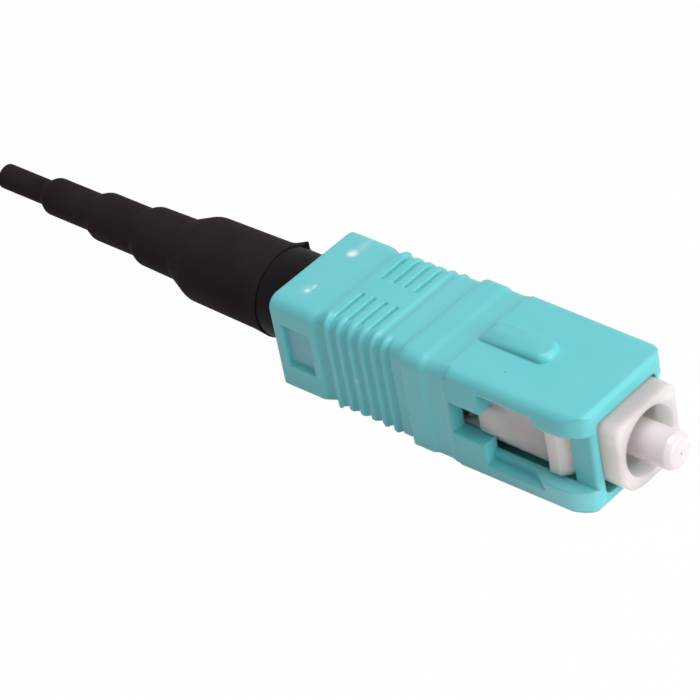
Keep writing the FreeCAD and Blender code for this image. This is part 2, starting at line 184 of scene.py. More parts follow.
def makeEdgeGroup():
    # Where the surface turns sharply, broken up by a noise, with a normal that softens the edge
    tree, start, end = newTree(
        "edgeRub", "ShaderNodeTree",
        [("Radius", "NodeSocketFloat", 0.12 * mm), ("Breakup", "NodeSocketFloat", 900.0),
         ("Vector", "NodeSocketVector", None)],
        [("Edge", "NodeSocketFloat"), ("Soft Normal", "NodeSocketVector")])
    soft = addNode(tree, "ShaderNodeBevel", (-500, 200), settings={"samples": 6})
    join(tree, start.outputs["Radius"], soft.inputs["Radius"])
    surface = addNode(tree, "ShaderNodeNewGeometry", (-500, -50))
    dot = addNode(tree, "ShaderNodeVectorMath", (-250, 100), settings={"operation": "DOT_PRODUCT"})
    join(tree, soft.outputs["Normal"], dot.inputs[0])
    join(tree, surface.outputs["Normal"], dot.inputs[1])
    noise = addNode(tree, "ShaderNodeTexNoise", (-500, -350), Detail=3.0)
    join(tree, start.outputs["Vector"], noise.inputs["Vector"])
    join(tree, start.outputs["Breakup"], noise.inputs["Scale"])
    turn = spread(tree, dot.outputs["Value"], 0.8, 0.995, (0, 100), 1.0, 0.0)
    broken = spread(tree, noise.outputs["Fac"], 0.3, 0.65, (0, -300), 0.35, 1.0)
    join(tree, mathNode(tree, "MULTIPLY", turn, broken, (300, 0)), end.inputs["Edge"])
    join(tree, soft.outputs["Normal"], end.inputs["Soft Normal"])
    return tree


def makeSpotGroup():
    # Soft round or stretched patch around a point
    tree, start, end = newTree(
        "roundSpot", "ShaderNodeTree",
        [("Vector", "NodeSocketVector", None), ("Centre", "NodeSocketVector", None),
         ("Stretch", "NodeSocketVector", None), ("Radius", "NodeSocketFloat", 0.5 * mm),
         ("Amount", "NodeSocketFloat", 1.0)],
        [("Mask", "NodeSocketFloat")])
    away = addNode(tree, "ShaderNodeVectorMath", (-600, 0), settings={"operation": "SUBTRACT"})
    join(tree, start.outputs["Vector"], away.inputs[0])
    join(tree, start.outputs["Centre"], away.inputs[1])
    scaled = addNode(tree, "ShaderNodeVectorMath", (-400, 0), settings={"operation": "MULTIPLY"})
    join(tree, away.outputs[0], scaled.inputs[0])
    join(tree, start.outputs["Stretch"], scaled.inputs[1])
    length = addNode(tree, "ShaderNodeVectorMath", (-200, 0), settings={"operation": "LENGTH"})
    join(tree, scaled.outputs[0], length.inputs[0])
    share = mathNode(tree, "DIVIDE", length.outputs["Value"], start.outputs["Radius"], (0, 0))
    fade = spread(tree, share, 0.0, 1.0, (200, 0), 1.0, 0.0)
    join(tree, mathNode(tree, "MULTIPLY", fade, start.outputs["Amount"], (450, 0)), end.inputs["Mask"])
    return tree


grainGroup = makeGrainGroup()
edgeGroup = makeEdgeGroup()
spotGroup = makeSpotGroup()


def placeGroup(tree, group, place, coords, **sockets):
    node = addNode(tree, "ShaderNodeGroup", place, {"node_tree": group}, **sockets)
    join(tree, coords, node.inputs["Vector"])
    return node


def newMaterial(name):
    material = bpy.data.materials.new(name)
    material.use_nodes = True
    tree = material.node_tree
    tree.nodes.clear()
    output = addNode(tree, "ShaderNodeOutputMaterial", (900, 0))
    shader = addNode(tree, "ShaderNodeBsdfPrincipled", (550, 0))
    join(tree, shader.outputs["BSDF"], output.inputs["Surface"])
    coords = addNode(tree, "ShaderNodeTexCoord", (-1200, 0))
    return material, tree, shader, coords.outputs["Object"]


def grainFinish(tree, shader, grain, look):
    # Gloss and bump both follow the fine grain
    rough = spread(tree, grain.outputs["Height"], 0.3, 0.7, (-300, -50),
                   look["roughness"] - look["roughSpread"], look["roughness"] + look["roughSpread"])
    join(tree, rough, shader.inputs["Roughness"])
    bump = addNode(tree, "ShaderNodeBump", (250, -300), Strength=look["bump"], Distance=look["bumpDepth"])
    join(tree, grain.outputs["Height"], bump.inputs["Height"])
    join(tree, bump.outputs["Normal"], shader.inputs["Normal"])
    return bump


def makePlastic(name, look):
    # Moulded plastic: slow colour drift, pale rubbed edges, patches of set colour (in places painted
    # highlights, reflection, light and shade), and fine grain
    material, tree, shader, coords = newMaterial(name)
    grain = placeGroup(tree, grainGroup, (-900, 200), coords,
                       Grain_Size=look["grainSize"], Drift_Size=look["driftSize"])
    edge = placeGroup(tree, edgeGroup, (-900, -200), coords, Radius=look["edgeRadius"])
    drift = spread(tree, grain.outputs["Drift"], 0.3, 0.7, (-600, 300))
    colours = [linearColour(look[key]) for key in ("colour", "driftColour", "edgeColour")]
    body = mixColour(tree, drift, colours[0], colours[1], (-300, 300))
    rub = mathNode(tree, "MULTIPLY", edge.outputs["Edge"], look["edgeAmount"], (-600, -100))
    body = mixColour(tree, rub, body, colours[2], (-50, 200))
    for i, (centre, stretch, radius, amount, colour) in enumerate(look.get("spots", [])):
        spot = placeGroup(tree, spotGroup, (-300, 600 + 220 * i), coords, Centre=[c * mm for c in centre],
                          Stretch=stretch, Radius=radius * mm, Amount=amount)
        body = mixColour(tree, spot.outputs["Mask"], body, linearColour(colour), (0, 600 + 220 * i))
    join(tree, body, shader.inputs["Base Color"])
    bump = grainFinish(tree, shader, grain, look)
    join(tree, edge.outputs["Soft Normal"], bump.inputs["Normal"])
    fixedInputs = {
        "IOR": look["ior"], "Specular IOR Level": look["specular"], "Subsurface Weight": look["translucency"],
        "Subsurface Radius": (1.0, 1.0, 1.0), "Subsurface Scale": look["scatterDepth"],
    }
    for label, value in fixedInputs.items():
        shader.inputs[label].default_value = value
    return material


def makeMetal(name, look):
    # Turned or drawn metal: grain drawn out by the stretch, and a faint tarnish
    material, tree, shader, coords = newMaterial(name)
    stretch = addNode(tree, "ShaderNodeMapping", (-1000, 0), Scale=look["stretch"])
    join(tree, coords, stretch.inputs["Vector"])
    grain = placeGroup(tree, grainGroup, (-800, 200), stretch.outputs["Vector"],
                       Grain_Size=look["grainSize"], Drift_Size=look["driftSize"])
    drift = spread(tree, grain.outputs["Drift"], 0.35, 0.65, (-500, 200))
    colours = [linearColour(look[key]) for key in ("colour", "driftColour")]
    body = mixColour(tree, drift, colours[0], colours[1], (-200, 200))
    join(tree, body, shader.inputs["Base Color"])
    grainFinish(tree, shader, grain, look)
    shader.inputs["Metallic"].default_value = 1.0
    return material


# Mesh tools

def newObject(name, mesh):
    piece = bpy.data.objects.new(name, mesh)
    bpy.context.scene.collection.objects.link(piece)
    return piece


def meshObject(name, points, faces, material):
    # Points in millimetres
    mesh = bpy.data.meshes.new(name)
    mesh.from_pydata([[c * mm for c in point] for point in points], [], faces)
    mesh.materials.append(material)
    return newObject(name, mesh)


def shadeSmooth(mesh, sharpAngle):
    mesh.polygons.foreach_set("use_smooth", [True] * len(mesh.polygons))
    mesh.set_sharp_from_angle(angle=math.radians(sharpAngle))


def tidyMesh(piece, sharpAngle=35):
    # Merges doubled points, turns the faces outwards and shades the piece smooth
    work = bmesh.new()
    work.from_mesh(piece.data)
    bmesh.ops.remove_doubles(work, verts=work.verts, dist=0.0002 * mm)
    bmesh.ops.recalc_face_normals(work, faces=work.faces)
    work.to_mesh(piece.data)
    work.free()
    shadeSmooth(piece.data, sharpAngle)
    return piece


def addMesh(piece, other):
    work = bmesh.new()
    work.from_mesh(piece.data)
    work.from_mesh(other.data)
    work.to_mesh(piece.data)
    work.free()
    bpy.data.objects.remove(other, do_unlink=True)


def cutPlane(work, place, normal, **clear):
    # Cuts the mesh along a plane and gives back the edges of the cut
    cut = bmesh.ops.bisect_plane(work, geom=work.verts[:] + work.edges[:] + work.faces[:], dist=1e-7,
                                 plane_co=place, plane_no=normal, **clear)
    return [e for e in cut["geom_cut"] if isinstance(e, bmesh.types.BMEdge)]


def finishedCopy(node, name, body, material):
    # Stands for a node as its own mesh, with doubled points merged and curved faces shaded smooth
    mesh = frame["nodes"][node].data.copy()
    mesh.name = name
    work = bmesh.new()
    work.from_mesh(mesh)
    bmesh.ops.remove_doubles(work, verts=work.verts, dist=0.0005 * mm)
    bmesh.ops.dissolve_limit(work, angle_limit=math.radians(0.4), verts=work.verts, edges=work.edges)
    work.to_mesh(mesh)
    work.free()
    if mesh.attributes.get("custom_normal"):
        mesh.attributes.remove(mesh.attributes["custom_normal"])
    mesh.materials.clear()
    mesh.materials.append(material)
    shadeSmooth(mesh, 32)
    piece = newObject(name, mesh)
    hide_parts(node)
    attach(piece, body)
    return piece


def keepAs(piece, node, body):
    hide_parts(node)
    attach(piece, body)


def sectionOutline(halfY, halfZ, lowRadius, highRadius, acrossSteps, upSteps, bendSteps):
    # Rounded rectangle as (y, z, outwardY, outwardZ), anticlockwise seen from the front. The steps
    # are places on the flats and stay a little inside their ends
    inside = 0.01
    corners = (
        (-1, -1, lowRadius, 180), (1, -1, lowRadius, 270), (1, 1, highRadius, 0), (-1, 1, highRadius, 90),
    )
    flats = ((acrossSteps, 0, -1), (upSteps, 1, 0), (acrossSteps[::-1], 0, 1), (upSteps[::-1], -1, 0))
    lowZ, highZ = -halfZ + lowRadius + inside, halfZ - highRadius - inside
    points = []
    for (signY, signZ, radius, turn), (steps, outY, outZ) in zip(corners, flats):
        centreY, centreZ = signY * (halfY - radius), signZ * (halfZ - radius)
        for i in range(bendSteps + 1):
            angle = math.radians(turn + 90 * i / bendSteps)
            points.append((centreY + radius * math.cos(angle), centreZ + radius * math.sin(angle),
                           math.cos(angle), math.sin(angle)))
        limit = halfY - radius - inside
        if outZ:
            points += [(min(max(y, -limit), limit), outZ * halfZ, 0, outZ) for y in steps]
        else:
            points += [(outY * halfY, min(max(z, lowZ), highZ), outY, 0) for z in steps]
    return points


def ringFaces(here, there, count):
    # Faces between two rings of points, given the place of each ring's first point
    return [(here + k, here + (k + 1) % count, there + (k + 1) % count, there + k) for k in range(count)]


def loftedTube(name, outer, inner, material):
    # Closed body between an outer skin and a bore, each a list of (x, outline) stations
    points = [(x, p[0], p[1]) for x, outline in outer + inner for p in outline]
    count = len(outer[0][1])
    rings = [r * count for r in range(len(outer) + len(inner))]
    order = rings[:len(outer)] + rings[len(outer):][::-1]
    faces = []
    for here, there in zip(order, order[1:] + order[:1]):
        faces += ringFaces(here, there, count)
    return meshObject(name, points, faces, material)


def roundedOutline(corners, bendSteps=4):
    # Closed outline of (x, radius, rounding) corners; a bend takes at most a set share of an edge
    longestShare = 0.45
    outline = []
    for i, (x, r, rounding) in enumerate(corners):
        if not rounding:
            outline.append((x, r))
            continue
        ends = []
        for otherX, otherR, _ in (corners[i - 1], corners[(i + 1) % len(corners)]):
            share = min(rounding / math.hypot(otherX - x, otherR - r), longestShare)
            ends.append((x + (otherX - x) * share, r + (otherR - r) * share))
        for t in spacedSteps(0, 1, bendSteps):
            outline.append(tuple((1 - t) ** 2 * ends[0][c] + 2 * t * (1 - t) * (x, r)[c] + t * t * ends[1][c]
                                 for c in (0, 1)))
    return outline


def turnedPiece(name, corners, material, segments=96):
    # The outline turned about the ferrule axis
    outline = roundedOutline(corners)
    count = len(outline)
    points, faces = [], []
    for k in range(segments):
        angle = 2 * math.pi * k / segments
        points += [(x, r * math.cos(angle), r * math.sin(angle)) for x, r in outline]
        faces += ringFaces(k * count, (k + 1) % segments * count, count)
    return tidyMesh(meshObject(name, points, faces, material))


def newGeometryTree(name, settings):
    # The settings become inputs of the tree by their names
    inputs = [("Geometry", "NodeSocketGeometry", None)]
    inputs += [(label, "NodeSocketFloat", value) for label, value in settings.items()]
    return newTree(name, "GeometryNodeTree", inputs, [("Geometry", "NodeSocketGeometry")])


def closeTree(tree, geometry, material, end):
    real = addNode(tree, "GeometryNodeRealizeInstances", (700, 0))
    join(tree, geometry, real.inputs["Geometry"])
    paint = addNode(tree, "GeometryNodeSetMaterial", (900, 0), Material=material)
    join(tree, real.outputs["Geometry"], paint.inputs["Geometry"])
    join(tree, paint.outputs["Geometry"], end.inputs["Geometry"])


def runNodes(piece, tree, settings):
    # Evaluates a geometry node tree on a piece and keeps the result as its plain mesh
    modifier = piece.modifiers.new(tree.name, "NODES")
    modifier.node_group = tree
    for item in tree.interface.items_tree:
        if item.item_type == "SOCKET" and item.in_out == "INPUT" and item.name in settings:
            modifier[item.identifier] = settings[item.name]
    graph = bpy.context.evaluated_depsgraph_get()
    graph.update()
    made = bpy.data.meshes.new_from_object(piece.evaluated_get(graph), depsgraph=graph)
    piece.modifiers.remove(modifier)
    old = piece.data
    piece.data = made
    made.name = piece.name
    bpy.data.meshes.remove(old)
    return piece


# Outer housing: the front half from the CAD, and a grip half with soft ribs

housingLook = {
    "colour": "66cad0", "driftColour": "6ccdd3", "edgeColour": "78d8da", "edgeAmount": 0.35,
    "edgeRadius": 0.22 * mm, "grainSize": 7000.0, "driftSize": 160.0, "roughness": 0.38,
    "roughSpread": 0.05, "bump": 0.1, "bumpDepth": 0.01 * mm, "ior": 1.5, "specular": 0.5,
    "translucency": 0.15, "scatterDepth": 0.8 * mm,
    # Patches as centre, stretch, radius (mm), amount and colour: painted highlights (glints and pale
    # smears) on two moulding marks on the rear block's top, the pocket floors painted greyer as a
    # painted reflection, a dark speck by the key, a pale one on a rib, and painted light on the lower rail at
    # the front
    "spots": [
        # Painted highlights: glints and pale smears on the two moulding marks
        ((-23.75, -2.15, 3.45), (1.1, 0.8, 1), 0.85, 0.45, "a9d4e0"),
        ((-23.75, -2.35, 3.45), (1, 1, 1), 0.3, 1.0, "e4fafb"),
        ((-23.6, -1.85, 3.45), (1.4, 0.7, 1), 0.26, 0.9, "d2f1f5"),
        ((-23.6, 2.9, 3.45), (2.0, 0.7, 1), 1.1, 0.5, "b6d6e4"),
        ((-23.73, 2.05, 3.45), (1.1, 1.0, 1), 0.6, 1.0, "f2fcfc"),
        # Painted reflection: the pocket floors turned greyer
        ((-23.55, -3.99, 0), (1, 30, 0.72), 2.4, 0.6, "7fb4c6"),
        ((-23.55, 3.99, 0), (1, 30, 0.72), 2.4, 0.6, "7fb4c6"),
        ((-7.1, -2.65, 3.7), (1, 1, 1), 0.12, 0.8, "3b7a7e"),
        ((-18.7, -4.2, -0.6), (1, 1, 0.8), 0.3, 0.8, "a6dade"),
        # Painted light: the lower rail at the front made paler
        ((-2.0, -4.4, -3.3), (0.45, 1, 1), 2.6, 0.8, "93eaf0"),
    ],
}
ribSettings = {
    "First": -21.12 * mm, "Pitch": 0.944 * mm, "Count": 6.0, "Side Height": 0.28 * mm,
    "Top Height": 0.24 * mm, "Side Flank": 0.38 * mm, "Top Flank": 0.14 * mm, "Valley": 0.04 * mm,
    "Last Valley": 0.09 * mm, "Last Flank": 0.38 * mm, "Strip": 0.88 * mm, "Strip End": 0.1 * mm,
}
ribsFirst = ribSettings["First"] / mm
ribsPitch = ribSettings["Pitch"] / mm
ribsCount = ribSettings["Count"]
ribsEnd = ribsFirst + ribsPitch * ribsCount
gripSizes = {
    # Half width and half height of the rear block, the scoop behind the ribs, the ribs' core, the
    # neck ahead of them, the band, the waist and the body
    "blockHalfY": 4.34, "blockHalfZ": 3.47, "scoopHalfY": 3.94, "coreHalfY": 4.06, "coreHalfZ": 3.34,
    "neckHalfY": 4.2, "neckHalfZ": 3.58, "bandHalfY": 4.56, "bandHalfZ": 3.7, "waistHalfY": 4.43,
    "waistHalfZ": 3.64, "bodyHalfY": 4.5, "bodyHalfZ": 3.7, "lowRadius": 0.15, "highRadius": 0.85,
    # Places along the axis; the last two rings slip a little inside the body
    "rearX": -25.5, "rearRounding": 0.12, "blockFrontX": -22.15, "bandRearX": -14.46, "bandMiddleX": -13.5,
    "bandFrontX": -12.42, "bandStep": 0.3, "endRise": 0.5, "levelX": -10.69, "slipX": -10.66, "slip": 0.01,
    "cutX": -10.65, "frontX": -10.62,
    # Slopes next to the first and the last rib, as shares of a pitch
    "sideRise": 0.2, "topRiseStart": -0.35, "topRiseEnd": 0.3, "neckRiseStart": -0.04, "neckRiseEnd": 0.12,
    "cavityHalfY": 3.36, "cavityHalfZ": 2.96, "cavityRadius": 0.25,
    "pocketRearX": -24.75, "pocketFrontX": -22.35, "pocketHalfZ": 1.65, "pocketDepth": 0.35,
    "pocketWall": 0.07, "markX": -23.73, "markY": 2.23, "markRadius": 0.5, "markDepth": 0.05,
    # Spacing of the mesh along the axis, across the flats and around the corners
    "rearGap": 0.2, "ribGap": 0.05, "edgeGap": 0.1, "bandSteps": 8, "riseSteps": 6,
    "neckFrom": 0.03, "neckTo": 0.15, "neckSteps": 4, "neckRear": 0.5, "neckFront": 0.2,
    "stripSteps": (-0.04, 0, 0.06, 0.12, 0.18),
    "stationStep": 0.12, "stationsPerRib": 17, "acrossFrom": 0.1, "acrossTo": 3.3, "acrossCount": 22,
    "upFrom": -3.1, "upTo": 2.5, "upCount": 14, "bendSteps": 6,
}


def gripSize(x, sizes):
    # Half width and half height of the grip before its ribs are raised
    u = (x - ribsFirst) / ribsPitch
    slopesY = (
        ("block", "scoop", sizes["blockFrontX"], ribsFirst),
        ("scoop", "core", ribsFirst, ribsFirst + sizes["sideRise"] * ribsPitch),
        ("core", "neck", ribsEnd + sizes["neckRiseStart"] * ribsPitch,
         ribsEnd + sizes["neckRiseEnd"] * ribsPitch),
    )
    slopes = (
        ("neck", "band", sizes["bandRearX"], sizes["bandRearX"] + sizes["bandStep"]),
        ("band", "waist", sizes["bandFrontX"] - sizes["bandStep"], sizes["bandFrontX"] + sizes["bandStep"]),
        ("waist", "body", sizes["levelX"] - sizes["endRise"], sizes["levelX"]),
    )
    halfY = sizes["blockHalfY"]
    for here, there, low, high in slopesY + slopes:
        halfY += (sizes[there + "HalfY"] - sizes[here + "HalfY"]) * easeStep(low, high, x)
    # The top steps down at a rib's crest, where the rib tree makes up for it
    if u <= 0.5:
        rise = easeStep(sizes["topRiseStart"], sizes["topRiseEnd"], u)
        halfZ = sizes["blockHalfZ"] + (sizes["neckHalfZ"] - sizes["blockHalfZ"]) * rise
    elif u < ribsCount - 1.5:
        halfZ = sizes["coreHalfZ"]
    elif u < ribsCount - 0.5:
        halfZ = sizes["neckHalfZ"] - ribSettings["Last Valley"] / mm
    else:
        halfZ = sizes["neckHalfZ"]
    for here, there, low, high in slopes:
        halfZ += (sizes[there + "HalfZ"] - sizes[here + "HalfZ"]) * easeStep(low, high, x)
    inset = sizes["slip"] if x >= sizes["slipX"] else 0.0
    near, radius = x - sizes["rearX"], sizes["rearRounding"]
    if near < radius:
        inset += radius - math.sqrt(max(radius ** 2 - (radius - near) ** 2, 0.0))
    return halfY - inset, halfZ - inset


def gripStation(x, sizes, acrossSteps, upSteps):
    # Section of the grip with its side pockets and the two marks on its top
    halfY, halfZ = gripSize(x, sizes)
    outline = sectionOutline(halfY, halfZ, sizes["lowRadius"], sizes["highRadius"], acrossSteps, upSteps,
                             sizes["bendSteps"])
    moved = []
    for y, z, outY, outZ in outline:
        inset = 0.0
        if abs(outY) == 1:
            depth = min(x - sizes["pocketRearX"], sizes["pocketFrontX"] - x, sizes["pocketHalfZ"] - abs(z))
            inset = sizes["pocketDepth"] * min(max(depth / sizes["pocketWall"], 0.0), 1.0)
        if outZ == 1:
            away = math.hypot(x - sizes["markX"], abs(y) - sizes["markY"]) / sizes["markRadius"]
            inset = sizes["markDepth"] * (1 - easeStep(0.5, 1.0, away))
        moved.append((y - outY * inset, z - outZ * inset, outY, outZ))
    return x, moved


def gripStations(sizes):
    # Places along the axis for the sections, closer together where the form changes quickly
    rear, wall, step = sizes["rearX"], sizes["pocketWall"], sizes["bandStep"]
    stations = [rear + sizes["rearRounding"] * (1 - math.cos(math.radians(a))) for a in (0, 30, 60, 90)]
    blockStart, blockEnd = rear + sizes["rearGap"], ribsFirst - sizes["ribGap"]
    stations += spacedSteps(blockStart, blockEnd, int((blockEnd - blockStart) / sizes["stationStep"]))
    for edge in (sizes["pocketRearX"], sizes["pocketFrontX"]):
        stations = [x for x in stations if abs(x - edge) > sizes["edgeGap"]]
        stations += [edge - wall, edge, edge + wall]
    stations += spacedSteps(ribsFirst, ribsEnd, int(sizes["stationsPerRib"] * ribsCount))
    stations += spacedSteps(sizes["bandRearX"], sizes["bandRearX"] + step, sizes["bandSteps"])
    stations += spacedSteps(sizes["bandFrontX"] - step, sizes["bandFrontX"] + step, sizes["bandSteps"])
    stations += spacedSteps(ribsEnd + sizes["neckFrom"], ribsEnd + sizes["neckTo"], sizes["neckSteps"])
    stations += spacedSteps(sizes["levelX"] - sizes["endRise"], sizes["levelX"], sizes["riseSteps"])
    stations += [ribsEnd + sizes["neckRear"], sizes["bandRearX"] - sizes["neckFront"]]
    stations += [sizes["bandMiddleX"], sizes["slipX"], sizes["frontX"]]
    return sorted(set(stations))


def makeRibTree(material):
    # Raises rounded ribs along the outward direction; a plain strip stays level across the middle
    tree, start, end = newGeometryTree("raisedRibs", ribSettings)
    get = start.outputs

    def times(first, second):
        return mathNode(tree, "MULTIPLY", first, second)

    def minus(first, second):
        return mathNode(tree, "SUBTRACT", first, second)

    def size(value):
        return mathNode(tree, "ABSOLUTE", value)

    def below(value, limit):
        return mathNode(tree, "LESS_THAN", value, limit)

    def above(value, limit):
        return mathNode(tree, "GREATER_THAN", value, limit)

    place = addNode(tree, "ShaderNodeSeparateXYZ", (-1000, 300))
    join(tree, addNode(tree, "GeometryNodeInputPosition", (-1200, 300)).outputs[0], place.inputs[0])
    outward = addNode(tree, "GeometryNodeInputNamedAttribute", (-1200, -300), {"data_type": "FLOAT_VECTOR"})
    outward.inputs["Name"].default_value = "outward"
    direction = addNode(tree, "ShaderNodeSeparateXYZ", (-1000, -300))
    join(tree, outward.outputs["Attribute"], direction.inputs[0])
    # Distance from the first rib in pitches, whose halves are the crests
    u = mathNode(tree, "DIVIDE", minus(place.outputs["X"], get["First"]), get["Pitch"])
    fromCrest = size(minus(mathNode(tree, "FRACT", u), 0.5))
    fromValley = minus(times(minus(0.5, fromCrest), get["Pitch"]), get["Valley"])

    def ridge(flank):
        # Soft rise from the valley to the crest
        share = mathNode(tree, "DIVIDE", fromValley, flank, clamp=True)
        return times(times(share, share), minus(3.0, times(share, 2.0)))

    inside = times(above(u, 0.0), below(u, get["Count"]))
    sideRidge = times(times(ridge(get["Side Flank"]), inside), get["Side Height"])
    beforeLast = below(u, minus(get["Count"], 1.5))
    topEnd = below(u, minus(get["Count"], 0.5))
    beyondStrip = minus(size(place.outputs["Y"]), get["Strip"])
    strip = mathNode(tree, "DIVIDE", beyondStrip, get["Strip End"], clamp=True)
    rearRibs = mathNode(tree, "MAXIMUM", ridge(get["Top Flank"]), minus(1.0, strip))
    rearRibs = times(times(times(rearRibs, beforeLast), get["Top Height"]), above(u, 0.5))
    lastRib = times(times(minus(topEnd, beforeLast), get["Last Valley"]), ridge(get["Last Flank"]))
    topRidge = times(mathNode(tree, "ADD", rearRibs, lastRib), inside)
    sideShare = size(direction.outputs["Y"])
    height = mathNode(tree, "ADD", times(sideRidge, sideShare), times(topRidge, minus(1.0, sideShare)))
    offset = addNode(tree, "ShaderNodeVectorMath", (200, -300), settings={"operation": "SCALE"})
    join(tree, outward.outputs["Attribute"], offset.inputs[0])
    join(tree, height, offset.inputs["Scale"])
    move = addNode(tree, "GeometryNodeSetPosition", (400, 0))
    join(tree, get["Geometry"], move.inputs["Geometry"])
    join(tree, offset.outputs["Vector"], move.inputs["Offset"])
    closeTree(tree, move.outputs["Geometry"], material, end)
    return tree


def makeGrip(name, sizes, material):
    strip = ribSettings["Strip"] / mm
    half = spacedSteps(sizes["acrossFrom"], sizes["acrossTo"], sizes["acrossCount"])
    half = sorted(half + [strip + step for step in sizes["stripSteps"]])
    acrossSteps = [-y for y in reversed(half)] + half
    pocket, wall = sizes["pocketHalfZ"], sizes["pocketWall"]
    upSteps = sorted(spacedSteps(sizes["upFrom"], sizes["upTo"], sizes["upCount"])
                     + [-pocket, -pocket + wall, pocket - wall, pocket])
    outer = [gripStation(x, sizes, acrossSteps, upSteps) for x in gripStations(sizes)]
    bore = sectionOutline(sizes["cavityHalfY"], sizes["cavityHalfZ"], sizes["cavityRadius"],
                          sizes["cavityRadius"], acrossSteps, upSteps, sizes["bendSteps"])
    grip = loftedTube(name, outer, [(x, bore) for x in (sizes["rearX"], sizes["frontX"])], material)
    direction = grip.data.attributes.new("outward", "FLOAT_VECTOR", "POINT")
    values = [c for x, outline in outer for p in outline for c in (0.0, p[2], p[3])]
    values += [0.0] * (3 * len(grip.data.vertices) - len(values))
    direction.data.foreach_set("vector", values)
    runNodes(grip, makeRibTree(material), ribSettings)
    grip.data.attributes.remove(grip.data.attributes["outward"])
    return grip


keySizes = {
    "rearX": -10.7, "frontX": -5.2, "halfY": 1.0, "rootZ": 3.5, "topZ": 4.22, "ramp": 0.9, "rearRise": 0.5,
    "frontRadius": 0.9, "rearRadius": 0.35, "edgeRadius": 0.42, "bendSteps": 9, "edgeSteps": 6,
    "topInsets": (0.55, 0.7, 0.85, 0.98),
}


def keyOutline(sizes, inset):
    # Plan of the key moved inwards by the inset
    halfY = max(sizes["halfY"] - inset, 0.01)
    turn = 90 / sizes["bendSteps"]
    ends = ((sizes["frontX"], 1, sizes["frontRadius"]), (sizes["rearX"], -1, sizes["rearRadius"]))
    points = []
    for endX, signX, radius in ends:
        bend = max(radius - inset, 0.005)
        for signY in (-signX, signX):
            for i in range(sizes["bendSteps"]):
                angle = math.radians(turn * i if signY == signX else 90 - turn * i)
                x = endX - signX * (inset + bend) + signX * bend * math.cos(angle)
                points.append((x, signY * (halfY - bend + bend * math.sin(angle))))
    return points


def makeKey(name, sizes, material):
    # Rings that climb the rounded edge and then close in over the top
    radius, base, top = sizes["edgeRadius"], sizes["rootZ"], sizes["topZ"]
    rings = [(0.0, base), (0.0, top - radius)]
    for i in range(1, sizes["edgeSteps"] + 1):
        angle = math.radians(90 / sizes["edgeSteps"] * i)
        rings.append((radius * (1 - math.cos(angle)), top - radius + radius * math.sin(angle)))
    rings += [(inset, top) for inset in sizes["topInsets"]]
    points = []
    for inset, z in rings:
        for x, y in keyOutline(sizes, inset):
            rise = easeStep(sizes["rearX"], sizes["rearX"] + sizes["ramp"], x)
            climb = sizes["rearRise"] + (1 - sizes["rearRise"]) * rise
            points.append((x, y, base + (z - base) * climb))
    count = len(points) // len(rings)
    faces = []
    for here in range(0, len(points) - count, count):
        faces += ringFaces(here, here + count, count)
    faces += [tuple(range(count)), tuple(range(len(points) - count, len(points)))]
    return tidyMesh(meshObject(name, points, faces, material))


frontSizes = {
    # Reach of the mouth's rim, how far its sides, top and bottom close in, and the level of the top
    "mouthRearX": -1.85, "mouthHalfY": 3.0, "mouthLowZ": -3.0, "mouthHighZ": 2.9,
    "narrow": 0.975, "lower": 0.945, "raise": 0.98, "topZ": 3.702,
    # Rounding of the front edges, with its loops as shares, and where the outer skin begins
    "edgeWidth": 0.4, "edgeLoops": (0.04, 0.12, 0.24, 0.4, 0.6, 0.8, 1.0), "skinHalfY": 3.2, "skinHalfZ": 3.3,
    # Behind here the end of the waist comes up level with the body
    "waistEndX": -10.44, "waistSkinHalfY": 3.4, "waistSkinHalfZ": 3.0,
}


def refineFront(piece, sizes):
    # Closes the mouth in around the nose, takes the key away and rounds the front edges
    work = bmesh.new()
    work.from_mesh(piece.data)
    for vert in work.verts:
        x, y, z = (c / mm for c in vert.co)
        inReach = abs(y) < sizes["mouthHalfY"] and sizes["mouthLowZ"] < z < sizes["mouthHighZ"]
        if x > sizes["mouthRearX"] and inReach:
            shareZ = sizes["lower"] if z > 0 else sizes["raise"]
            vert.co = (vert.co.x, y * sizes["narrow"] * mm, z * shareZ * mm)
    keyEdges = cutPlane(work, (0, 0, sizes["topZ"] * mm), (0, 0, 1), clear_outer=True)
    bmesh.ops.holes_fill(work, edges=keyEdges, sides=0)
    width = sizes["edgeWidth"]
    for share in sizes["edgeLoops"]:
        cutPlane(work, (-width * share * mm, 0, 0), (1, 0, 0))
    for vert in work.verts:
        x, y, z = (c / mm for c in vert.co)
        if x < -width:
            continue
        shrink = width - math.sqrt(max(width ** 2 - (width + x) ** 2, 0.0))
        if abs(y) > sizes["skinHalfY"]:
            vert.co.y -= math.copysign(shrink * mm, y)
        if abs(z) > sizes["skinHalfZ"]:
            vert.co.z -= math.copysign(shrink * mm, z)
    work.to_mesh(piece.data)
    work.free()


def cutBehind(piece, x, sizes):
    # Keeps what lies in front of a plane across the axis, closes the cut and raises the waist's end
    work = bmesh.new()
    work.from_mesh(piece.data)
    edges = cutPlane(work, (x * mm, 0, 0), (1, 0, 0), clear_inner=True)
    bmesh.ops.triangle_fill(work, use_beauty=True, edges=edges)
    growY = gripSizes["bodyHalfY"] / gripSizes["waistHalfY"]
    growZ = gripSizes["bodyHalfZ"] / gripSizes["waistHalfZ"]
    for vert in work.verts:
        y, z = abs(vert.co.y) / mm, abs(vert.co.z) / mm
        onSkin = y > sizes["waistSkinHalfY"] or z > sizes["waistSkinHalfZ"]
        if vert.co.x < sizes["waistEndX"] * mm and onSkin:
            vert.co.y = math.copysign(min(y * growY, gripSizes["bodyHalfY"]) * mm, vert.co.y)
            vert.co.z = math.copysign(min(z * growZ, gripSizes["bodyHalfZ"]) * mm, vert.co.z)
    work.to_mesh(piece.data)
    work.free()


